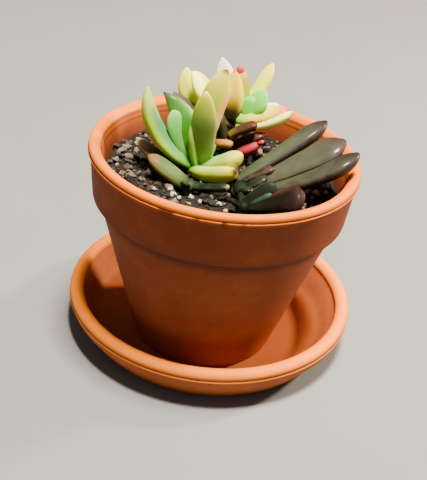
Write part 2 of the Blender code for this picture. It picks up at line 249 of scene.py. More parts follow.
# %% [markdown]
# ## Floor and light
#
# A pale matte floor keeps the eye on the plant. Three soft panels light it. The large one hangs
# high and a little in front, and its warm light gives every leaf a bright top and a shaded keel.
# A small one, low at the right and behind, runs along both clay lips and glints on the dark
# leaves. The third stands at the front left and only just opens the shade, as a dim sky does.

# %% Floor and light
FLOOR_REACH = 3.0
FLOOR_SQUARES = 8
SKY_TINT, SKY_STRENGTH = (0.80, 0.83, 0.88, 1), 0.20
Panel = namedtuple("Panel", "name place size power tint")
PANELS = [
    Panel("overhead", place=(110, -170, 1500), size=280, power=106.0, tint=(1.0, 0.90, 0.73)),
    Panel("side", place=(710, 333, 495), size=90, power=18.5, tint=(1.0, 0.84, 0.62)),
    Panel("fill", place=(-420, -520, 380), size=420, power=0.2, tint=(1.0, 0.97, 0.92)),
]

floor_finish, floor_shader, start = new_finish("studio_floor", roughness=0.9)
grain = millimetres(start).noise(scale=0.02, detail=3.0)
plug(floor_shader, "Base Color", grain.mix(paint(119, 120, 121), paint(126, 127, 128)))

bm = bmesh.new()
bmesh.ops.create_grid(bm, x_segments=FLOOR_SQUARES, y_segments=FLOOR_SQUARES, size=FLOOR_REACH)
floor_mesh = bpy.data.meshes.new("floor")
bm.to_mesh(floor_mesh)
bm.free()
floor_mesh.materials.append(floor_finish)
floor = bpy.data.objects.new("floor", floor_mesh)
bpy.context.collection.objects.link(floor)

for panel in PANELS:
    light = bpy.data.lights.new(panel.name, "AREA")
    light.size = panel.size * MM
    light.energy = panel.power
    light.color = panel.tint
    lamp = bpy.data.objects.new(panel.name, light)
    lamp.location = Vector(panel.place) * MM
    towards = Vector((0, 0, AIM_HEIGHT)) - Vector(panel.place)
    lamp.rotation_euler = towards.to_track_quat("-Z", "Y").to_euler()
    bpy.context.collection.objects.link(lamp)

sky = bpy.data.worlds.new("studio")
sky.use_nodes = True
sky.node_tree.nodes["Background"].inputs["Color"].default_value = SKY_TINT
sky.node_tree.nodes["Background"].inputs["Strength"].default_value = SKY_STRENGTH
bpy.context.scene.world = sky
print(len(PANELS), "panels of light and a pale floor")

# %% [markdown]
# ## From a bmesh to a piece
#
# Each piece is modelled in millimetres in one bmesh. This helper gives it a finish, scales it
# to metres, hangs it on the root body and hides the plain solid that it stands for.

# %% Piece helper


def add_piece(name, bm, material, node=None):
    bmesh.ops.scale(bm, vec=(MM, MM, MM), verts=bm.verts)
    mesh = bpy.data.meshes.new(name)
    bm.to_mesh(mesh)
    bm.free()
    mesh.shade_smooth()
    mesh.materials.append(material)
    piece = bpy.data.objects.new(name, mesh)
    bpy.context.collection.objects.link(piece)
    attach(piece, "root")
    if node:
        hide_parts(node)
    mesh.calc_loop_triangles()
    print(name, len(mesh.loop_triangles), "triangles")


# %% [markdown]
# ## Terracotta
#
# Flowerpot clay is fired once and left bare. It is orange where it is dry and clean, redder and
# darker in cloudy patches, and finely sandy to the touch. Large noise gives the clouds and fine
# noise the sand, a sparse cell pattern gives the dark iron specks, and a very low bump carries
# the faint rings of the potter's wheel. Two numbers on each point of the mesh say where the clay
# is lighter and where it is darker. The lighter one is partly rubbed wear and partly painted
# light on the lit crests, the ridge and the low parts. The darker one is painted shade in the
# grooves and under overhangs, and it also darkens the bore just above the soil.

# %% Terracotta finish
IRON, SHADE_IN_CREASE = paint(82, 40, 26), paint(62, 26, 14)
DARK_SPOT, PALE_SPOT = paint(60, 28, 18), paint(240, 205, 150)
STREAK_STRETCH = Vector((0.05, 0.05, 0.9))
RING_STRETCH = Vector((0.03, 0.03, 1.0))
Spot = namedtuple("Spot", "centre radius")


def terracotta(name, warm, deep, pale, worn_tint, dark_spots=(), pale_spots=()):
    material, shader, start = new_finish(name, specular_ior_level=0.14)
    place = millimetres(start)
    worn = start.painted("worn")
    crease = start.painted("crease")
    cloud = place.noise(scale=0.03, detail=4.0, roughness=0.6).step(0.35, 0.68)
    drift = place.noise(scale=0.12, detail=5.0, roughness=0.65).step(0.45, 0.75)
    sand = place.noise(scale=2.6, detail=4.0, roughness=0.7)
    streak = (place * STREAK_STRETCH).noise(scale=1.0, detail=3.0, roughness=0.6)
    clay = cloud.mix(deep, warm)
    clay = (drift * 0.25).mix(clay, pale)
    # Lighter clay from wear and painted light: rubbed lips, painted highlights on the lit crests and
    # the saucer's ridge, and painted light on the pot's foot and the saucer's floor.
    clay = (worn * (0.72 + streak * 0.5)).mix(clay, worn_tint)
    clay = (0.88 + sand * 0.14 + streak * 0.10).shade(clay)
    specks = place.cells(0.16).step(0.13, 0.06) * place.noise(scale=0.05).step(0.5, 0.6)
    clay = (specks * 0.6).mix(clay, IRON)
    # Painted shade in the grooves, under the pot's collar and under the saucer's band, and a darker
    # band on the bore just above the soil.
    clay = (crease * 0.7).mix(clay, SHADE_IN_CREASE)
    for spot in dark_spots:
        clay = (place.near(spot.centre, spot.radius) * 0.85).mix(clay, DARK_SPOT)
    for spot in pale_spots:
        clay = (place.near(spot.centre, spot.radius) * sand.step(0.3, 0.5)).mix(clay, PALE_SPOT)
    plug(shader, "Base Color", clay)
    plug(shader, "Roughness", 0.66 + sand * 0.18 - worn * 0.2)
    rings = (place * RING_STRETCH).noise(scale=0.9)
    plug(shader, "Normal", relief(sand * 0.35 + rings * 0.65, distance=0.22, strength=0.6))
    return material


pot_clay = terracotta(
    "pot_terracotta", warm=paint(130, 61, 29), deep=paint(118, 54, 27), pale=paint(148, 76, 35),
    worn_tint=paint(222, 112, 2), dark_spots=[Spot((27.0, -38.5, 31.0), 0.9)])
saucer_clay = terracotta(
    "saucer_terracotta", warm=paint(166, 87, 45), deep=paint(154, 79, 41), pale=paint(182, 102, 52),
    worn_tint=paint(244, 130, 2), dark_spots=[Spot((59.0, -23.0, 18.5), 0.8)],
    pale_spots=[Spot((50.5, -1.0, 8.5), 1.1), Spot((51.0, -6.5, 8.0), 0.9)])
print("clay finishes:", pot_clay.name, saucer_clay.name)

# %% [markdown]
# ## Turning clay
#
# Pot and saucer are made on a wheel or in a spun mould, so both start as an outline that is
# spun once round. The spin is closed by merging its first and last column. Afterwards every
# point is moved a little by smooth noise, because real clay is never quite round.

# %% Turning helper
TURN_STEPS = 288
MERGE_GAP = 0.0005
ON_AXIS = 1.0
RING_SHARE = 0.45


def arc(centre, radius, start, end, count):
    """Points on an arc from start to end degrees, 0 pointing outwards and 90 up."""
    angles = [math.radians(start + (end - start) * i / (count - 1)) for i in range(count)]
    return [(centre[0] + radius * math.cos(a), centre[1] + radius * math.sin(a)) for a in angles]


def straight(first, last, count):
    """Points on a straight wall, with both its ends."""
    steps = range(1, count)
    between = [tuple(a + (b - a) * i / count for a, b in zip(first, last)) for i in steps]
    return [first, *between, last]


def turned(outline, closed):
    """Spin (radius, height) points that run down the outer side."""
    bm = bmesh.new()
    points = [bm.verts.new((radius, 0, height)) for radius, height in outline]
    edges = [bm.edges.new(pair) for pair in zip(points, points[1:])]
    if closed:
        edges.append(bm.edges.new((points[-1], points[0])))
    bmesh.ops.spin(bm, geom=points + edges, axis=(0, 0, 1), cent=(0, 0, 0), dvec=(0, 0, 0),
                   angle=math.tau, steps=TURN_STEPS, use_merge=True)
    bmesh.ops.remove_doubles(bm, verts=bm.verts, dist=MERGE_GAP)
    bmesh.ops.recalc_face_normals(bm, faces=bm.faces)
    return bm


def hand_of_the_potter(bm, amount, edge=None):
    """Move each point in or out by smooth noise; edge adds wear at its height and angle."""
    for vert in bm.verts:
        radius = math.hypot(vert.co.x, vert.co.y)
        if radius < ON_AXIS:
            continue
        angle = math.atan2(vert.co.y, vert.co.x)
        around = Vector((math.cos(angle), math.sin(angle), 0))
        slow = noise.noise(around * 1.3 + Vector((0, 0, vert.co.z * 0.02)))
        ring = noise.noise(around * 0.5 + Vector((0, 0, vert.co.z * 0.55)))
        shift = amount * (slow + RING_SHARE * ring)
        if edge:
            shift -= edge(radius, vert.co.z, math.degrees(angle))
        vert.co += around * shift


def note_wear_light_and_shade(bm, worn, crease):
    """Write each point's wear with painted light, and its painted shade, from its radius and height."""
    layers = bm.verts.layers.float.new("worn"), bm.verts.layers.float.new("crease")
    for vert in bm.verts:
        radius = math.hypot(vert.co.x, vert.co.y)
        vert[layers[0]] = worn(radius, vert.co.z)
        vert[layers[1]] = crease(radius, vert.co.z)


print("arc of a lip:", [tuple(round(v, 1) for v in p) for p in arc((0, 0), 3, 90, 0, 3)])

# %% [markdown]
# ## The pot's outline
#
# Its collar is a wide band under a rounded lip. A fine groove parts the lip from a thin ridge.
# Below the collar the wall runs straight down to a rounded foot and a flat base with a drain
# hole, and inside the bore widens from the floor up to the lip. The outline is one closed loop
# of points, joined from short runs that each have a name.

# %% Pot outline
POT_FLOOR, POT_BASE = 6.0, -1.4
BORE_LOW, BORE_HIGH = 27.4, 49.8
BORE_TOP = 83.8
CORNER_TOP, CORNER_WIDTH = 9, 3
DRAIN_RADIUS = 5.5


def bore(height):
    """Inner radius of the pot between its floor and its lip."""
    share = (height - POT_FLOOR) / (BORE_TOP - POT_FLOOR)
    return BORE_LOW + (BORE_HIGH - BORE_LOW) * share


bore_edge = [(BORE_HIGH - 0.15, BORE_TOP - 1.1), (BORE_HIGH - 0.25, BORE_TOP - 0.5)]
inner_lip = [(53.4 + 3.6 * x, BORE_TOP + 4.2 * z) for x, z in arc((0, 0), 1.0, 180, 98, 9)]
outer_lip = arc((53.4, 86.35), 1.65, 90, -12, 8)
groove = [(54.8, 85.6), (54.55, 85.35), (54.6, 85.2), (54.95, 85.15)]
ridge = [(55.25, 85.0), (55.3, 84.75), (55.0, 84.4), (54.5, 84.1)]
collar = straight((54.25, 83.7), (52.5, 66.3), 12)
under_collar = [*arc((51.1, 66.1), 1.35, -8, -82, 5), (50.3, 64.5), (49.8, 64.2)]
wall = straight((49.45, 63.6), (30.6, 1.2), 30)[:-1]
foot = [(30.5, 0.9), (30.1, 0.1), (29.4, POT_BASE)]
drain = [(DRAIN_RADIUS, POT_BASE), (DRAIN_RADIUS, POT_FLOOR)]
corner = [(bore(POT_FLOOR) - CORNER_WIDTH, POT_FLOOR)]
inside = straight((bore(CORNER_TOP), CORNER_TOP), (BORE_HIGH - 0.3, BORE_TOP - 1.8), 16)
pot_outline = [
    *bore_edge, *inner_lip, *outer_lip, *groove, *ridge, *collar, *under_collar, *wall, *foot,
    *drain, *corner, *inside,
]
print("the pot's outline has", len(pot_outline), "points")

# %% [markdown]
# ## The pot
#
# The pot leans a little and stands off the middle of its saucer. The thin ridge is chipped in
# places where the clay was dry when it was trimmed. The lip is lighter, partly from rubbing and
# partly as a painted highlight, and painted light makes the foot lighter. Shade is painted into
# the groove and the step under the collar, and the bore is darker just above the soil. The base
# is cut level, because it stands on the saucer's floor.

# %% Pot
SEAT_HEIGHT = 5.5
SEAT_PLACE = (-2.0, -11.7, SEAT_HEIGHT)
LEAN_BACK, LEAN_RIGHT = math.radians(-0.8), math.radians(1.13)
SEAT = Matrix.Translation(SEAT_PLACE) @ Euler((LEAN_BACK, LEAN_RIGHT, 0)).to_matrix().to_4x4()
RIDGE_RADIUS, RIDGE_LOW, RIDGE_TOP = 54, 83.6, 85.4
GROOVE_HEIGHT, STEP_HEIGHT = 85.2, 62.6
CHIP_DEPTH, NIBBLE_DEPTH = 0.75, 0.22
Chip = namedtuple("Chip", "angle width")
CHIPS = [
    Chip(-111.5, 1.5), Chip(-108.6, 1.9), Chip(-98.0, 1.0), Chip(-87.2, 1.3), Chip(-80.5, 0.8),
    Chip(35.0, 1.4), Chip(121.0, 1.6), Chip(168.0, 1.2),
]


def chipped(radius, height, angle):
    """How far the thin ridge is worn back at an angle."""
    if radius < RIDGE_RADIUS or not RIDGE_LOW < height < RIDGE_TOP:
        return 0.0
    wear = NIBBLE_DEPTH * abs(noise.noise(Vector((angle * 0.35, 3.1, height))))
    for chip in CHIPS:
        wear += CHIP_DEPTH * max(0.0, 1 - abs(angle - chip.angle) / chip.width)
    return wear


def pot_wear_and_light(radius, height):
    """Lighter on the lip from wear and a painted highlight, less so at the top of the bore, and painted
    light at the foot.
    """
    if radius > 50.2:
        return ease(83.2, 86.8, height)
    painted_light_near_foot = 0.32 * ease(30, 2, height) if radius < 45 else 0.0
    return max(painted_light_near_foot, 0.3 * ease(80, 84, height))


def pot_crease(radius, height):
    """Painted shade in the groove and under the collar, and darker on the bore just above the soil."""
    if radius <= 50 and height >= 70:
        return ease(80.5, 76.0, height) if height > 72 else 0.0
    shade_in_groove = 0.6 * ease(0.5, 0.1, abs(height - GROOVE_HEIGHT)) * ease(55.0, 54.7, radius)
    shade_under_collar = ease(5.0, 0.4, abs(height - STEP_HEIGHT)) if radius > 45 else 0.0
    return max(shade_in_groove, shade_under_collar)


pot_bm = turned(pot_outline, closed=True)
note_wear_light_and_shade(pot_bm, pot_wear_and_light, pot_crease)
hand_of_the_potter(pot_bm, amount=0.16, edge=chipped)
bmesh.ops.transform(pot_bm, matrix=SEAT, verts=pot_bm.verts)
for vert in pot_bm.verts:
    vert.co.z = max(vert.co.z, SEAT_HEIGHT)
add_piece("terracotta_pot", pot_bm, pot_clay, "pot")

# %% [markdown]
# ## The saucer
#
# The saucer is thicker than it looks: a heavy rounded lip, a fine groove and a thin ridge under
# it, then a band that tucks in to a flat foot. Inside, the wall slopes to a level floor in a
# soft curve that water can be wiped from.

# %% Saucer
SAUCER_FLOOR = 5.2
SAUCER_GROOVE, SAUCER_RIDGE = 15.5, 14.9
LEVEL_FOOT = 0.05

floor_run = straight((0, SAUCER_FLOOR), (48.6, SAUCER_FLOOR), 8)
floor_corner = [(49.9, 5.5), (51.0, 6.3)]
slope_run = straight((52.0, 7.5), (56.3, 14.0), 5)
lip = arc((60.0, 16.3), 3.0, 196, 6, 18)
groove = [(62.85, 16.0), (62.65, 15.7), (62.7, 15.4)]
ridge = [(63.0, 15.15), (63.12, 14.9), (63.0, 14.5)]
band = [(62.6, 13.4), (62.1, 12.0), (61.6, 11.0), (60.7, 9.9)]
tuck = straight((59.7, 8.4), (55.0, 1.6), 6)
foot_edge = [(54.4, 0.7), (53.6, 0.15)]
foot_run = straight((53.0, 0), (0, 0), 6)
saucer_outline = [
    *floor_run, *floor_corner, *slope_run, *lip, *groove, *ridge, *band, *tuck, *foot_edge, *foot_run,
]


def saucer_wear_and_light(radius, height):
    """Lighter on the lip from wear and a painted highlight, a painted highlight on the ridge, and a
    little painted light on the floor and the foot.
    """
    highlight_on_ridge = 0.7 * ease(0.5, 0.1, abs(height - SAUCER_RIDGE))
    return max(ease(14.8, 18.6, height), highlight_on_ridge, 0.14 * ease(9, 5, height))


def saucer_crease(radius, height):
    """Painted shade in the groove and under the tucked-in band."""
    shade_in_groove = 0.3 * ease(0.5, 0.1, abs(height - SAUCER_GROOVE)) * ease(62.2, 62.6, radius)
    return max(shade_in_groove, 0.5 * ease(9.0, 3.0, height) if radius > 53.5 else 0.0)


saucer_bm = turned(saucer_outline, closed=False)
note_wear_light_and_shade(saucer_bm, saucer_wear_and_light, saucer_crease)
hand_of_the_potter(saucer_bm, amount=0.14)
for vert in saucer_bm.verts:
    if vert.co.z < LEVEL_FOOT:
        vert.co.z = 0.0
add_piece("terracotta_saucer", saucer_bm, saucer_clay, "saucer")

# %% [markdown]
# ## The potting mix
#
# The soil is dark and open: peat, chips of bark, and white perlite that has floated to the top.
# Its surface is a sum of three sizes of noise, heaped against the wall on the left and hollowed
# round each stem. A function of x and y gives that height, so that loose bits can be laid on the
# same ground later.

# %% Soil surface
SOIL_LEVEL = 75.2
LEFT_HEAP, LEFT_REACH = 1.6, 47
HOLLOW_RADIUS, HOLLOW_DEPTH = 9.0, 1.9
CROWNS = {
    "green": (-12, -9.5, 84.5), "olive": (-13, -25.5, 82.5), "cream": (3, 14, 93.5),
    "maroon": (0, 4, 87), "dark": (8, -24, 83.5), "pup": (9, -37, 82.5),
}
crowns_in_pot = [SEAT.inverted() @ Vector(crown) for crown in CROWNS.values()]


def soil_height(x, y):
    """The soil's surface in the pot's frame."""
    place = Vector((x, y, 0))
    height = SOIL_LEVEL + 0.9 * noise.noise(place * 0.09)
    height += 0.8 * noise.noise(place * 0.28 + Vector((7, 0, 0)))
    height += 0.45 * noise.noise(place * 0.8)
    reach = math.hypot(x, y) / bore(SOIL_LEVEL)
    height += LEFT_HEAP * (max(0.0, -x / LEFT_REACH) * reach ** 3)
    for crown in crowns_in_pot:
        distance = math.hypot(x - crown.x, y - crown.y) / HOLLOW_RADIUS
        if distance < 1:
            height -= HOLLOW_DEPTH * (1 - distance * distance) ** 1.5
    return height


print("soil stands", [round(soil_height(x, 0), 1) for x in (-45, 0, 45)], "mm up, left to right")

# %% [markdown]
# ## The body of the soil
#
# A sphere is already one closed body whose rings run from pole to pole. Most of its rings are
# laid over the soil's surface, and the last few follow the pot's wall down to its floor. The
# peat's finish is a fibrous noise, pulled out sideways, with pale grit sprinkled in.

# %% Soil body
SOIL_SIDES, SOIL_RINGS, WALL_RINGS = 150, 62, 4
SHOULDER = 4
EDGE_GAP, WALL_GAP, FLOOR_GAP = 0.35, 0.7, 0.4
FIBRE_STRETCH = Vector((1.0, 2.4, 1.6))

soil_bm = bmesh.new()
bmesh.ops.create_uvsphere(soil_bm, u_segments=SOIL_SIDES, v_segments=SOIL_RINGS, radius=1.0)
top_rings = SOIL_RINGS - 1 - WALL_RINGS
for vert in soil_bm.verts:
    ring = round(math.acos(max(-1.0, min(1.0, vert.co.z))) / math.pi * SOIL_RINGS)
    angle = math.atan2(vert.co.y, vert.co.x)
    if ring <= top_rings:
        radius = (bore(SOIL_LEVEL) - EDGE_GAP) * ring / top_rings
        x, y = radius * math.cos(angle), radius * math.sin(angle)
        vert.co = (x, y, soil_height(x, y))
    elif ring < SOIL_RINGS:
        share = (ring - top_rings) / WALL_RINGS
        height = (SOIL_LEVEL - SHOULDER) * (1 - share) + (POT_FLOOR + SHOULDER) * share
        radius = bore(height) - WALL_GAP
        vert.co = (radius * math.cos(angle), radius * math.sin(angle), height)
    else:
        vert.co = (0, 0, POT_FLOOR + FLOOR_GAP)
bmesh.ops.transform(soil_bm, matrix=SEAT, verts=soil_bm.verts)

peat, peat_shader, start = new_finish("peat", specular_ior_level=0.2)
place = millimetres(start)
fibre = (place * FIBRE_STRETCH).noise(scale=0.9, detail=5.0, roughness=0.7)
grit = place.noise(scale=2.2, detail=4.0, roughness=0.7)
tone = fibre.step(0.3, 0.7).mix(paint(10, 9, 9), paint(44, 38, 33))
tone = (grit.step(0.58, 0.72) * 0.5).mix(tone, paint(84, 76, 68))
plug(peat_shader, "Base Color", tone)
plug(peat_shader, "Roughness", 0.75 + grit * 0.2)
plug(peat_shader, "Normal", relief(grit + fibre, distance=0.6, strength=0.9))
add_piece("potting_mix", soil_bm, peat, "soil")

# %% [markdown]
# ## Shaping loose bits
#
# Loose bits give the soil its grain. Each is an icosphere of a few faces, stretched, pushed
# about by noise, turned and half sunk. Every bit keeps one colour on its points, so one finish
# serves them all. The bits are drawn from one seeded source, so they fall the same way each run.

# %% Bit helper
BITS = random.Random(29)
BATCH = 60
Bit = namedtuple("Bit", "x y size flat tint rough detail")


def shape_bit(bm, layer, bit):
    """One bit of soil at its place in the pot's frame."""
    verts = bmesh.ops.create_icosphere(bm, subdivisions=bit.detail, radius=1.0)["verts"]
    stretch = Vector((
        BITS.uniform(0.8, 1.5), BITS.uniform(0.7, 1.1), bit.flat * BITS.uniform(0.8, 1.2)))
    seed = Vector((BITS.uniform(-50, 50), BITS.uniform(-50, 50), 0))
    tilt = (BITS.uniform(-0.7, 0.7), BITS.uniform(-0.7, 0.7), BITS.uniform(0, math.tau))
    spin = Euler(tilt).to_matrix()
    lift = bit.size * bit.flat * BITS.uniform(0.1, 0.7)
    ground = Vector((bit.x, bit.y, soil_height(bit.x, bit.y) + lift))
    for vert in verts:
        bulge = bit.size * (1 + bit.rough * noise.noise(vert.co * 1.4 + seed))
        vert.co = SEAT @ (ground + spin @ (vert.co * stretch * bulge))
        vert[layer] = bit.tint


def strew(bits):
    """All the bits in one bmesh, shaped in batches, which is quicker than one long list."""
    whole = bmesh.new()
    for first in range(0, len(bits), BATCH):
        batch = bmesh.new()
        layer = batch.verts.layers.float_color.new("tint")
        for bit in bits[first:first + BATCH]:
            shape_bit(batch, layer, bit)
        mesh = bpy.data.meshes.new("batch")
        batch.to_mesh(mesh)
        batch.free()
        whole.from_mesh(mesh)
        bpy.data.meshes.remove(mesh)
    return whole


def clear_of_stems(x, y, gap):
    return all(math.hypot(x - crown.x, y - crown.y) > gap for crown in crowns_in_pot)


def random_place(reach):
    radius = reach * math.sqrt(BITS.random())
    angle = BITS.uniform(0, math.tau)
    return radius * math.cos(angle), radius * math.sin(angle)


print("a bit keeps its", ", ".join(Bit._fields))

# %% [markdown]
# ## Bark and peat
#
# Most of the bits are dark bark and clots of peat, from dust to crumbs of three millimetres. The
# left side is lit, so more of its bits take the pale colours as painted light, and six larger
# chips are laid there one by one.

# %% Bark and peat
DARK_BARK = [paint(12, 11, 11), paint(22, 19, 17), paint(36, 31, 27)]
PALE_BARK = [paint(62, 55, 48), paint(96, 88, 80), paint(66, 46, 34)]
CHIP_TINT = paint(104, 94, 84)
LEFT_CHIPS = [
    (-42.6, 7.5, 1.9), (-39.5, 3.4, 2.2), (-43.6, -2.2, 1.8),
    (-37.0, 9.8, 1.6), (-40.6, 12.0, 1.5), (-34.8, 13.5, 1.7),
]
BARK_TRIES, BARK_REACH = 1500, 46.6
BARK_SIZES = (0.45, 0.6, 0.8, 1.1, 1.5)
STEM_GAP = 4.2
PAINTED_LIGHT_EDGE = -24

bark_bits = [Bit(x, y, size, 0.55, CHIP_TINT, 1.0, 2) for x, y, size in LEFT_CHIPS]
for _ in range(BARK_TRIES):
    x, y = random_place(BARK_REACH)
    size = BITS.choice(BARK_SIZES)
    if clear_of_stems(x, y, STEM_GAP + size * 1.4):
        # Left of this edge more bits are pale: painted light on the lit left side.
        dark_share = 0.8 if x > PAINTED_LIGHT_EDGE else 0.45
        shades = DARK_BARK if BITS.random() < dark_share else PALE_BARK
        tint = BITS.choice(shades)
        detail = 1 if size < 1 else 2
        bark_bits.append(Bit(x, y, size, BITS.uniform(0.35, 0.8), tint, 0.9, detail))

bits_finish, bits_shader, start = new_finish("bark_and_peat", specular_ior_level=0.25)
tint = start.painted("tint", out="Color")
grit = millimetres(start).noise(scale=3.0, detail=4.0, roughness=0.7)
plug(bits_shader, "Base Color", (0.7 + grit * 0.7).shade(tint))
plug(bits_shader, "Roughness", 0.7 + grit * 0.2)
plug(bits_shader, "Normal", relief(grit, distance=0.3, strength=0.8))
add_piece("bark_and_peat_bits", strew(bark_bits), bits_finish)

# %% [markdown]
# ## Perlite
#
# Perlite is volcanic glass that was puffed up by heat, so its grains are white, light and full
# of pits. The two dozen that catch the eye in the picture are laid one by one, each from a row
# of x, y and size, and a few hundred small grey ones are strewn between them. The same helper
# shapes them, rounder and smoother than the bark, and a cell pattern gives them their pits.

# %% Perlite
GRAINS = [
    (-42.6, 7.5, 0.9), (-39.6, 4.6, 0.8), (-42.9, -4.2, 0.8), (-39.2, -6.8, 0.7),
    (-19.7, -18.8, 1.5), (-17.8, -22.3, 1.3), (-16.1, -23.5, 1.0), (-11.2, -21.6, 1.25),
    (-3.7, -19.4, 1.0), (0.0, -24.5, 1.1), (2.9, -28.4, 1.0), (3.1, -13.0, 1.2),
    (6.6, -32.0, 1.2), (1.4, -33.5, 1.5), (14.6, 25.0, 1.7), (16.9, 21.8, 1.6),
    (17.4, 18.2, 1.2), (38.2, -5.8, 1.6), (44.0, -2.4, 1.5), (42.5, -5.0, 1.1),
    (-37.6, 17.2, 1.1), (33.2, -16.7, 1.1), (-7.4, -24.6, 1.0), (-26.1, -17.9, 1.0),
]
PERLITE_LIGHT, PERLITE_GREY, PERLITE_PIT = paint(178, 170, 148), paint(80, 75, 66), paint(90, 82, 70)
PERLITE_TRIES, PERLITE_REACH, PERLITE_GAP = 300, 46.2, 5.5

perlite_bits = [Bit(x, y, size, 0.8, PERLITE_LIGHT, 0.7, 2) for x, y, size in GRAINS]
for _ in range(PERLITE_TRIES):
    x, y = random_place(PERLITE_REACH)
    if clear_of_stems(x, y, PERLITE_GAP):
        tint = blend(PERLITE_GREY, PERLITE_LIGHT, 0.7 * BITS.random() ** 2)
        perlite_bits.append(Bit(x, y, BITS.uniform(0.25, 0.7), 0.8, tint, 0.6, 1))

perlite_finish, perlite_shader, start = new_finish("perlite_grain", specular_ior_level=0.4)
tint = start.painted("tint", out="Color")
pits = millimetres(start).cells(1.4)
plug(perlite_shader, "Base Color", pits.step(0.05, 0.35).mix(PERLITE_PIT, tint))
plug(perlite_shader, "Roughness", 0.6 + pits * 0.3)
plug(perlite_shader, "Normal", relief(pits, distance=0.35, strength=0.8))
add_piece("perlite", strew(perlite_bits), perlite_finish)

# %% [markdown]
# ## Forms of a leaf
#
# Every leaf is a water store with a flat upper face and a round keel. A form says where along
# its length the leaf is widest, how sharp its tip is, how stout its foot is next to its widest
# part, and how straight it tapers between the two. Seventeen forms serve all fifty leaves.

# %% Leaf forms
Form = namedtuple("Form", "widest sharpness foot taper", defaults=[0])
FORMS = {
    "finger": Form(0.60, 0.25, 0.55),
    "spear": Form(0.52, 0.70, 0.60),
    "blade": Form(0.54, 0.22, 0.42),
    "paddle": Form(0.74, 0.40, 0.50),
    "thumb": Form(0.66, 0.00, 0.60),
    "spoon": Form(0.68, 0.00, 0.50),
    "pear": Form(0.74, 0.00, 0.26, 0.7),
    "bulb": Form(0.44, 0.55, 0.46),
    "loaf": Form(0.46, 0.15, 0.72),
    "oar": Form(0.80, 0.10, 0.30, 0.8),
    "stub": Form(0.50, 0.00, 0.80),
    "block": Form(0.84, 0.00, 0.92),
    "club": Form(0.85, 0.00, 0.62),
    "bat": Form(0.84, 0.10, 0.26, 0.9),
    "horn": Form(0.58, 0.12, 0.60),
    "cone": Form(0.46, 0.50, 0.66),
    "pole": Form(0.80, 0.05, 0.40, 0.5),
}


def half_width(form, share):
    """Half the width at a share of the length, where the widest part is 1."""
    if share <= form.widest:
        part = share / form.widest
        swell = math.sqrt(max(0.0, 1 - (1 - part) ** 2))
        return form.foot + (1 - form.foot) * (swell + (part - swell) * form.taper)
    past = (share - form.widest) / (1 - form.widest)
    rounded = math.sqrt(max(0.0, 1 - past ** 2))
    return rounded * (1 - form.sharpness) + (1 - past ** 1.6) * form.sharpness


widths = [round(half_width(FORMS["spear"], i / 5), 2) for i in range(6)]
print("a spear's widths from foot to tip:", widths)

# %% [markdown]
# ## Coats of a leaf
#
# A coat gives a leaf's colours. The first three run from foot to tip, the fourth lies on the
# keel, the edge colour runs along both edges or one, and the mark sits on the very point. Each
# leaf in the picture has its own mix of green, cream, red and bronze, so each coat is named
# after the leaf or leaves that wear it. Some coats also paint shade on the foot or body of a
# leaf that lies in shade, one paints light on a shaded tip, and one paints a highlight on edges.

# %% Leaf coats
Coat = namedtuple("Coat", "foot middle tip keel edge mark edge_at foot_to")


def coat(foot, middle, tip, keel, edge=None, mark=None, edge_at=0, foot_to=0.42):
    """edge_at is 0 for both edges, or the side, 1 or -1, that the edge colour lies on."""
    colours = [foot, middle, tip, keel, edge or middle, mark or tip]
    return Coat(*[paint(*colour) for colour in colours], edge_at, foot_to)


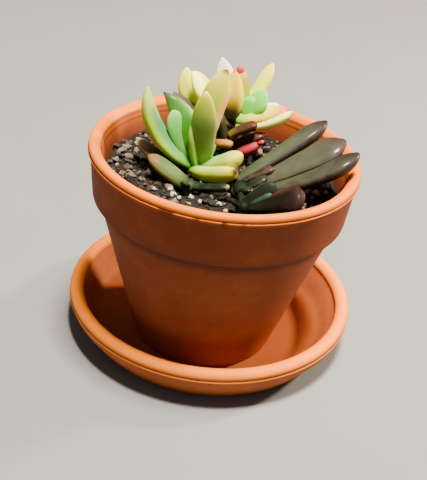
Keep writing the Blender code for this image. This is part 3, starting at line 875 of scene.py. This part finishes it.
COATS = {
    "lime_keel": coat((84, 160, 30), (80, 144, 92), (178, 200, 84), (106, 184, 4),
                      edge=(150, 200, 16), mark=(206, 176, 92), edge_at=1),
    "grey_tip": coat((60, 150, 12), (44, 106, 2), (44, 72, 12), (28, 82, 2),
                     edge=(108, 168, 50), mark=(50, 38, 42), edge_at=-1),
    "mint": coat((90, 164, 50), (92, 172, 64), (112, 182, 88), (84, 150, 40)),
    "pale_lime": coat((120, 180, 50), (150, 200, 60), (170, 206, 90), (120, 170, 40)),
    "olive_cream": coat((64, 136, 30), (126, 160, 12), (180, 194, 30), (112, 158, 72),
                        edge=(138, 152, 90), mark=(244, 230, 140), edge_at=1),
    "peach": coat((96, 150, 40), (150, 168, 30), (216, 198, 62), (150, 160, 40),
                  edge=(255, 192, 104), mark=(120, 54, 40), edge_at=-1),
    "mint_cream": coat((80, 150, 56), (124, 182, 80), (198, 194, 44), (130, 160, 20),
                       edge=(190, 190, 56)),
    "yellow_keel": coat((110, 180, 70), (170, 206, 110), (200, 204, 40), (186, 222, 4),
                        edge=(190, 206, 50), mark=(92, 44, 24)),
    "bud": coat((110, 160, 60), (150, 196, 100), (190, 214, 150), (130, 180, 70)),
    # Its dark foot is painted shade.
    "olive_keel_painted_shade_foot": coat((30, 36, 10), (74, 94, 44), (120, 82, 52), (110, 122, 8),
                       edge=(112, 112, 34), mark=(104, 66, 50)),
    # Painted shade on the foot and middle, and painted light on the tip, of a leaf that lies in shade.
    "dusk": coat((16, 18, 9), (40, 36, 24), (176, 150, 126), (62, 52, 40), foot_to=0.7),
    # These two coats paint shade: their leaves lie low in shade and are painted near black.
    "moss": coat((6, 10, 3), (9, 14, 5), (16, 24, 10), (6, 9, 3)),
    "moss_bead": coat((5, 9, 3), (8, 13, 4), (20, 28, 14), (5, 8, 3), mark=(120, 130, 94)),
    "pale_yellow": coat((112, 150, 54), (182, 208, 34), (224, 228, 54), (176, 216, 104),
                        edge=(212, 220, 30)),
    # Its dark foot is painted shade.
    "ivory": coat((44, 38, 30), (255, 250, 110), (255, 252, 140), (240, 214, 60),
                  edge=(255, 240, 90), foot_to=0.62),
    "blush_white": coat((220, 200, 110), (255, 246, 190), (255, 250, 215), (250, 225, 170)),
    # Its dark foot is painted shade.
    "ochre": coat((30, 18, 10), (222, 182, 8), (238, 186, 40), (150, 96, 20),
                  edge=(250, 228, 60), mark=(196, 44, 50), edge_at=-1, foot_to=0.6),
    "lime_bud": coat((100, 120, 20), (166, 168, 6), (190, 160, 40), (150, 150, 12),
                     edge=(190, 186, 20)),
    "red_bead": coat((180, 50, 40), (190, 36, 36), (204, 50, 46), (150, 20, 24)),
    "cream": coat((130, 180, 20), (236, 238, 30), (250, 246, 80), (190, 206, 14),
                  edge=(250, 246, 60)),
    "mint_spoon": coat((130, 200, 60), (104, 200, 54), (118, 212, 80), (90, 190, 44),
                       edge=(150, 222, 100)),
    "snow": coat((170, 210, 90), (230, 244, 180), (250, 252, 210), (170, 205, 80)),
    "pink_tip": coat((130, 192, 70), (226, 220, 46), (224, 92, 70), (140, 190, 10),
                     edge=(250, 230, 90), mark=(206, 48, 56)),
    "butter": coat((130, 150, 24), (255, 250, 120), (255, 248, 150), (206, 206, 40),
                   edge=(255, 250, 170), mark=(214, 150, 80)),
    "russet": coat((84, 78, 20), (52, 30, 14), (60, 14, 8), (30, 14, 8),
                   edge=(66, 44, 22), mark=(60, 6, 8)),
    # Painted shade: near black from foot to middle and on the keel, red only at the tip.
    "dark_red_painted_shade": coat((14, 10, 6), (30, 18, 9), (84, 18, 12), (18, 12, 7)),
    "tan_stub": coat((90, 44, 22), (166, 108, 54), (196, 138, 74), (116, 66, 30)),
    "crimson": coat((84, 10, 18), (136, 30, 44), (190, 54, 70), (90, 10, 20), edge=(148, 36, 50)),
    "plum": coat((28, 26, 17), (52, 49, 38), (98, 73, 71), (40, 33, 28)),
    "bronze_green": coat((22, 42, 10), (56, 64, 44), (40, 30, 27), (22, 20, 13),
                         edge=(30, 22, 17), mark=(24, 14, 13), edge_at=-1),
    # Its pale pink edges are a painted highlight.
    "bronze_grey_painted_edge_highlight": coat((20, 34, 12), (55, 57, 42), (50, 40, 36), (20, 20, 14), edge=(84, 64, 58)),
    "bronze_brown": coat((18, 32, 10), (47, 47, 34), (36, 27, 24), (20, 21, 13),
                         edge=(32, 25, 19), edge_at=-1),
    "rose_edge": coat((10, 18, 6), (13, 10, 6), (34, 18, 15), (7, 7, 4),
                      edge=(64, 32, 27), mark=(56, 30, 27), edge_at=1),
    "rose_brown": coat((26, 20, 12), (38, 20, 14), (56, 28, 24), (16, 9, 8)),
    "jade": coat((10, 18, 8), (16, 21, 14), (26, 36, 27), (8, 14, 8), edge=(46, 58, 46)),
    "deep_jade": coat((12, 26, 14), (30, 52, 40), (52, 76, 62), (16, 32, 20)),
}


def leaf_tint(coat_name, share, side, up):
    """The colour at a share of the length; side is 1 or -1 at the edges, up is 1 on the face."""
    colours = COATS[coat_name]
    tint = blend(colours.foot, colours.middle, ease(colours.foot_to - 0.4, colours.foot_to, share))
    below = 1 - ease(-0.35, 0.3, up)
    tint = blend(tint, colours.keel, below * ease(0.0, 0.25, share) * (1 - ease(0.6, 1.0, share)))
    if colours.edge_at:
        near_edge = ease(0.3, 0.95, side * colours.edge_at)
    else:
        near_edge = 0.7 * ease(0.8, 1.0, abs(side))
    tint = blend(tint, colours.edge, near_edge * ease(0.1, 0.4, share))
    tint = blend(tint, colours.tip, ease(0.6, 1.0, share))
    return blend(tint, colours.mark, ease(0.955, 0.995, share))


print(len(FORMS), "forms and", len(COATS), "coats")

# %% [markdown]
# ## Growing a leaf
#
# A leaf leaves the crown along a heading and a rise, may bend up or sway sideways, and may be
# rolled about its own length. A sphere already has rings from pole to pole, which is how a leaf
# is built too. Each ring is carried to its place on a curved spine, stretched to the form's
# width and thickness there, and flattened on its upper side. The same step writes the leaf's
# colours on its points.

# %% Leaf helper
LEAF_SIDES, LEAF_RINGS = 28, 30
TOP_FLATNESS = 0.7
SPINE_STEPS = 40
TIP_POINT, TIP_FROM = 0.016, 0.975
WANDER = 0.045
HAIR = 0.001
Leaf = namedtuple("Leaf", "form heading rise length width thickness coat bend sway roll root")


def leaf(form, heading, rise, length, width, thickness, coat, bend=0, sway=0, roll=0, root=(0, 0, 0)):
    """A leaf's chord points at heading (0 is right, 90 away) and rise; root is from the crown."""
    return Leaf(form, heading, rise, length, width, thickness, coat, bend, sway, roll, root)


def leaf_axes(spec, share):
    """Directions along the leaf, across it and out of its face at a share of its length."""
    heading = math.radians(spec.heading + spec.sway * (share - 0.5))
    rise = math.radians(spec.rise + spec.bend * (share - 0.5))
    level = Vector((math.cos(heading), math.sin(heading), 0))
    along = level * math.cos(rise) + Vector((0, 0, math.sin(rise)))
    across = Vector((-level.y, level.x, 0))
    face = along.cross(across)
    cosine, sine = math.cos(math.radians(spec.roll)), math.sin(math.radians(spec.roll))
    return along, across * cosine + face * sine, face * cosine - across * sine


def leaf_spine(crown, spec):
    """Points along the middle of the leaf, each one step on from the last."""
    spine = [Vector(crown) + Vector(spec.root)]
    for step in range(SPINE_STEPS):
        along = leaf_axes(spec, (step + 0.5) / SPINE_STEPS)[0]
        spine.append(spine[-1] + along * spec.length / SPINE_STEPS)
    return spine


def grow_leaf(bm, layers, crown, spec):
    form = FORMS[spec.form]
    spine = leaf_spine(crown, spec)
    made = bmesh.ops.create_uvsphere(bm, u_segments=LEAF_SIDES, v_segments=LEAF_RINGS, radius=1.0)
    for vert in made["verts"]:
        share = min(max((1 + vert.co.z) / 2, 0.0), 1.0)
        place = min(share * SPINE_STEPS, SPINE_STEPS - HAIR)
        middle = spine[int(place)].lerp(spine[int(place) + 1], place - int(place))
        ring = math.hypot(vert.co.x, vert.co.y)
        side, up = (vert.co.x / ring, vert.co.y / ring) if ring > HAIR else (0.0, 0.0)
        along, across, face = leaf_axes(spec, share)
        half = half_width(form, share) if ring > HAIR else 0.0
        lift = up * (TOP_FLATNESS if up > 0 else 1.0)
        wander = 1 + WANDER * noise.noise(middle * 0.16 + Vector((spec.heading, side * 0.7, up * 0.7)))
        vert.co = middle + along * TIP_POINT * spec.length * ease(TIP_FROM, 1.0, share)
        sideways = across * side * half * wander * spec.width / 2
        vert.co += sideways + face * lift * half * wander * spec.thickness / 2
        vert[layers["tint"]] = leaf_tint(spec.coat, share, side, up)
        vert[layers["share"]] = share
        vert[layers["upper"]] = (up + 1) / 2


print("a leaf has", LEAF_RINGS, "rings of", LEAF_SIDES, "points")

# %% [markdown]
# ## Leaf skin
#
# The skin is smooth and slightly waxy. Where the wax is whole it is pale, powdery and dull, and
# where it has been rubbed off the leaf is deeper in colour and shines. The finish reads the
# painted colours and breaks them up with two sizes of noise. A wax mask drives the pale bloom,
# and the rubbed tips get the gloss. A little light passes under the surface.

# %% Leaf finishes


def leaf_skin(name, bloom, gloss, wax, shine=0.16):
    """bloom is how much of the wax colour shows, and gloss how much the rubbed tips shine."""
    material, shader, start = new_finish(
        name, subsurface_weight=0.12, subsurface_scale=0.0025, subsurface_radius=(1.0, 0.9, 0.35),
        coat_roughness=0.14, specular_ior_level=shine)
    tint = start.painted("tint", out="Color")
    share = start.painted("share")
    upper = start.painted("upper")
    place = millimetres(start)
    cloud = place.noise(scale=0.22, detail=3.0, roughness=0.55)
    dots = place.noise(scale=2.4, detail=3.0, roughness=0.6)
    waxed = cloud.step(0.36, 0.62) * upper.step(0.2, 0.75) * (1 - share.step(0.78, 0.97))
    rubbed = share.step(0.70, 0.92)
    skin = (0.84 + cloud * 0.22 + dots * 0.1).shade(tint)
    plug(shader, "Base Color", (waxed * bloom).mix(skin, wax))
    plug(shader, "Roughness", 0.54 + waxed * 0.12 - rubbed * gloss * 0.2 + dots * 0.06)
    plug(shader, "Coat Weight", rubbed * gloss)
    plug(shader, "Normal", relief(dots + cloud * 2, distance=0.12, strength=0.5))
    return material


green_skin = leaf_skin("green_leaf_skin", bloom=0.05, gloss=0.06, wax=paint(120, 170, 110))
pale_skin = leaf_skin("cream_leaf_skin", bloom=0.02, gloss=0.10, wax=paint(235, 235, 120))
dark_skin = leaf_skin("dark_leaf_skin", bloom=0.16, gloss=0.22, wax=paint(84, 90, 72))
pup_skin = leaf_skin("pup_leaf_skin", bloom=0.05, gloss=0.02, wax=paint(60, 62, 48), shine=0.06)
red_skin = leaf_skin("red_leaf_skin", bloom=0.05, gloss=0.14, wax=paint(110, 84, 70))
skins = [green_skin, pale_skin, dark_skin, pup_skin, red_skin]
print("skins:", ", ".join(skin.name for skin in skins))

# %% [markdown]
# ## Stem and rosette
#
# Under each rosette is a short stem ringed with the scars of leaves that have dropped. It is a
# capped cylinder cut into rings, with every other ring pushed out. The rosette then takes its
# crown and each leaf from the table, all in one mesh.

# %% Rosette helper
STEM_SIDES, STEM_RINGS = 20, 14
STEM_SINK = 9.0
STEM_TAPER = 0.12
SCAR_DEPTH, LOBE_DEPTH = 0.10, 0.06
STEM_TOP = paint(96, 84, 56)
CROWN_SIDES, CROWN_RINGS = 20, 14


def grow_stem(bm, layers, crown, radius, tint):
    crown = Vector(crown)
    bottom = (SEAT @ Vector((0, 0, SOIL_LEVEL))).z - STEM_SINK
    height = crown.z - bottom
    bmesh.ops.create_cone(
        bm, cap_ends=True, segments=STEM_SIDES, radius1=radius, radius2=radius, depth=height)
    upright = [edge for edge in bm.edges if abs(edge.verts[0].co.z - edge.verts[1].co.z) > 1]
    bmesh.ops.subdivide_edges(bm, edges=upright, cuts=STEM_RINGS)
    for vert in bm.verts:
        level = (vert.co.z + height / 2) / height
        angle = math.atan2(vert.co.y, vert.co.x)
        scars = SCAR_DEPTH * math.sin(level * math.pi * STEM_RINGS)
        girth = 1 + scars + LOBE_DEPTH * math.sin(angle * 3 + level * 9)
        vert.co.x *= girth * (1.0 - STEM_TAPER * level)
        vert.co.y *= girth * (1.0 - STEM_TAPER * level)
        vert.co += Vector((crown.x, crown.y, bottom + height / 2))
        vert[layers["tint"]] = blend(tint, STEM_TOP, level)


def grow_crown(bm, layers, crown, knob, tint):
    made = bmesh.ops.create_uvsphere(bm, u_segments=CROWN_SIDES, v_segments=CROWN_RINGS, radius=1.0)
    for vert in made["verts"]:
        vert.co = Vector([c + s * k for c, s, k in zip(crown, vert.co, knob)])
        vert[layers["tint"]] = tint


def rosette(name, node, skin, crown, knob, stem, stem_tint, crown_tint, leaves):
    """knob is the crown's size along each axis, and stem the radius of the stem."""
    bm = bmesh.new()
    layers = {"tint": bm.verts.layers.float_color.new("tint")}
    for painted in ("share", "upper"):
        layers[painted] = bm.verts.layers.float.new(painted)
    grow_stem(bm, layers, crown, stem, stem_tint)
    grow_crown(bm, layers, crown, knob, crown_tint)
    for spec in leaves:
        grow_leaf(bm, layers, crown, spec)
    bmesh.ops.recalc_face_normals(bm, faces=bm.faces)
    add_piece(name, bm, skin, node)


print("stem with", STEM_RINGS, "rings of scars")

# %% [markdown]
# ## The green rosette
#
# This is the tall one at the front left. Its long outer leaf curves up like a horn with a bright
# lime keel, two broad leaves stand upright in the middle, and two stout ones lean out over the
# soil to the right.

# %% Green rosette
rosette(
    "green_leaves", node="green_rosette", skin=green_skin, crown=CROWNS["green"],
    knob=(3.6, 3.6, 3.4), stem=3.0, stem_tint=paint(60, 52, 34), crown_tint=paint(110, 150, 60),
    leaves=[
        leaf("horn", -173, 56, 40.5, 10.8, 7.0, "lime_keel", bend=68, roll=-18),
        leaf("spear", 153, 56, 32.8, 10.4, 5.2, "grey_tip", bend=-60, roll=-40),
        leaf("thumb", 172, 62, 24.0, 9.8, 5.6, "mint", bend=12, roll=-45),
        leaf("finger", 168, 80, 18.5, 4.8, 4.2, "pale_lime", bend=5, root=(0.4, -3.0, 0)),
        leaf("finger", 165, 40, 21.0, 4.8, 3.6, "mint", bend=15),
        leaf("blade", -105, 84, 33.5, 10.8, 6.5, "olive_cream", bend=4, root=(2.6, -1, 0)),
        leaf("paddle", 36, 75, 40.5, 10.8, 6.0, "peach", bend=-18, roll=45),
        leaf("pear", -24, 27, 22.2, 10.0, 8.4, "mint_cream", bend=20),
        leaf("thumb", -38, 21, 24.2, 8.8, 7.8, "yellow_keel", bend=34, roll=-32, root=(-1.2, -1, -2.0)),
        leaf("stub", -155, 15, 8.5, 4.8, 4.6, "bud"),
        leaf("finger", 95, 36, 11.5, 5.0, 4.0, "mint", bend=25),
        leaf("finger", 48, 28, 12.0, 4.6, 3.6, "pale_lime", bend=20),
    ])

# %% [markdown]
# ## The olive rosette
#
# A small plant lies low in front of the green one. Only two of its leaves show well: a stout one
# with a grey-green face, an olive keel and a foot painted dark as shade, and a broad one behind it
# painted dark as shade from its foot to its middle and painted light at the tip.

# %% Olive rosette
rosette(
    "olive_leaves", node="olive_rosette", skin=green_skin, crown=CROWNS["olive"],
    knob=(2.8, 2.8, 2.4), stem=2.2, stem_tint=paint(46, 42, 26), crown_tint=paint(40, 56, 26),
    leaves=[
        leaf("thumb", 162, 25, 20.2, 7.2, 6.0, "olive_keel_painted_shade_foot", roll=-15),
        leaf("thumb", 144, 20, 31.0, 7.4, 4.2, "dusk", root=(0, 0.9, -1.3)),
        leaf("club", -20, 16, 17.0, 4.6, 4.2, "moss_bead", bend=10),
        leaf("finger", -120, 35, 7.0, 3.4, 2.8, "moss", bend=10),
    ])

# %% [markdown]
# ## The cream rosette
#
# The palest plant stands at the back on the tallest stem. Strong light has bleached its leaves
# to cream and white and burnt some of their tips pink or red, one of them to a small red bead.
# The spoon-shaped leaf in its shade has stayed mint green.

# %% Cream rosette
rosette(
    "cream_leaves", node="cream_rosette", skin=pale_skin, crown=CROWNS["cream"],
    knob=(3.2, 3.2, 3.4), stem=2.4, stem_tint=paint(70, 58, 38), crown_tint=paint(150, 170, 90),
    leaves=[
        leaf("thumb", 178, 42, 36.5, 11.4, 5.8, "pale_yellow", bend=100, roll=-35, root=(0.5, 0, 0)),
        leaf("paddle", -169, 47, 30.5, 12.0, 6.0, "ivory", bend=22, roll=-30),
        leaf("cone", 164, 73, 28.5, 11.0, 6.8, "blush_white", roll=-60, root=(-1.2, 0, 0)),
        leaf("bulb", 98, 78, 21.2, 10.2, 7.4, "ochre", bend=6, root=(-2.9, -3.2, 2.4)),
        leaf("thumb", 138, 77, 22.5, 7.6, 5.8, "lime_bud", root=(3.2, 1, 0)),
        leaf("stub", 138, 77, 3.8, 3.5, 3.5, "red_bead", root=(-0.7, 4.1, 20.3)),
        leaf("thumb", 32, 61, 28.8, 8.0, 5.4, "cream", bend=10),
        leaf("spoon", -22, 54, 19.8, 11.0, 5.0, "mint_spoon", roll=50, root=(0, 0.5, 0.3)),
        leaf("spoon", 70, 72, 9.0, 7.4, 4.4, "mint_spoon", root=(4.2, -4, 5)),
        leaf("finger", 0, 26, 14.2, 6.0, 5.0, "snow", root=(3.4, -0.6, 4.8)),
        leaf("loaf", -17, 23, 22.8, 10.2, 9.2, "pink_tip", bend=8, roll=15, root=(0.4, -0.6, 2.9)),
        leaf("thumb", -15, 27, 26.0, 7.0, 5.6, "butter", bend=30, root=(0, -3.5, 0.4)),
        leaf("finger", 62, 30, 21.0, 6.4, 4.6, "cream", bend=25),
        leaf("paddle", 100, 42, 23.0, 7.4, 4.8, "pale_yellow", bend=25),
        leaf("finger", 136, 24, 20.0, 6.0, 4.4, "cream", bend=35),
    ])

# %% [markdown]
# ## The maroon rosette
#
# Between the green and the cream plants a dark red one hides in their shade. It shows as a few
# blunt leaves at the right: a russet one, a tan stub, and a bright crimson one that ends in a
# knob. Its longest leaf is plum brown and reaches left, behind the green plant.

# %% Maroon rosette
rosette(
    "maroon_leaves", node="maroon_rosette", skin=red_skin, crown=CROWNS["maroon"],
    knob=(3.0, 3.0, 5.5), stem=2.4, stem_tint=paint(40, 28, 20), crown_tint=paint(60, 40, 26),
    leaves=[
        leaf("club", 6, 28, 12.4, 5.4, 5.0, "russet", bend=-25, root=(0.3, -2.2, 6.4)),
        leaf("thumb", 7, 24, 17.0, 6.0, 5.0, "dark_red_painted_shade"),
        leaf("block", -8, 8, 8.6, 4.4, 4.4, "tan_stub", root=(-6.2, -2.5, 2.4)),
        leaf("bulb", -10, 32, 14.2, 6.8, 6.4, "crimson", bend=8, root=(2.2, -1, -2.6)),
        leaf("stub", -10, 40, 3.0, 2.6, 2.4, "crimson", root=(12.4, -2.9, 4.2)),
        leaf("finger", 177, 41, 32.0, 9.0, 4.8, "plum", bend=10, roll=-20),
        leaf("finger", 180, 72, 18.5, 6.2, 5.0, "plum"),
    ])

# %% [markdown]
# ## The dark rosette and its pup
#
# Three long leaves lean out over the right of the rim. They are bronze: green at the foot, grey
# where the wax is whole, brown and glossy at the tip. A pup in front of them has one broad leaf
# with a rose edge and two small jade ones.

# %% Dark rosette and pup
# The crown tint is painted shade, near black under the leaves.
DARK_STEM, PAINTED_SHADE_CROWN = paint(20, 19, 12), paint(14, 22, 9)

rosette(
    "dark_leaves", node="dark_rosette", skin=dark_skin, crown=CROWNS["dark"],
    knob=(4.0, 5.2, 2.6), stem=3.0, stem_tint=DARK_STEM, crown_tint=PAINTED_SHADE_CROWN,
    leaves=[
        leaf("pole", 38, 22, 47.0, 9.8, 7.6, "bronze_green", bend=8, roll=-8, root=(-3, 5, 0.5)),
        leaf("oar", 17, 26.5, 44.4, 12.8, 6.6, "bronze_grey_painted_edge_highlight", bend=5, roll=14),
        leaf("pole", 11, 22, 48.5, 10.6, 8.0, "bronze_brown", bend=15, sway=40, roll=-8,
             root=(0, -2, -0.5)),
        leaf("club", 14, 25, 13.0, 4.4, 4.0, "rose_brown", root=(0, 2, 2.4)),
        leaf("thumb", -2, 35, 11.0, 6.0, 4.0, "jade"),
        leaf("finger", 128, 34, 5.5, 2.6, 2.6, "rose_brown", root=(-1.6, 4, 0.5)),
        leaf("thumb", -72, 24, 9.5, 5.6, 4.0, "moss", bend=20),
    ])
rosette(
    "dark_pup_leaves", node="dark_pup", skin=pup_skin, crown=CROWNS["pup"],
    knob=(2.8, 2.8, 2.4), stem=2.2, stem_tint=DARK_STEM, crown_tint=PAINTED_SHADE_CROWN,
    leaves=[
        leaf("bat", -8, 23, 24.2, 11.4, 6.2, "rose_edge", bend=4, roll=35),
        leaf("spoon", 15, 40, 15.0, 7.6, 4.2, "jade", bend=10, roll=50),
        leaf("thumb", 4, 34, 10.5, 5.4, 4.0, "deep_jade", bend=10, root=(1.6, 1.0, 1.2)),
        leaf("finger", 185, 30, 6.5, 3.6, 2.8, "moss", bend=15),
        leaf("finger", 110, 34, 6.5, 3.4, 2.6, "moss", bend=15),
    ])

# %% [markdown]
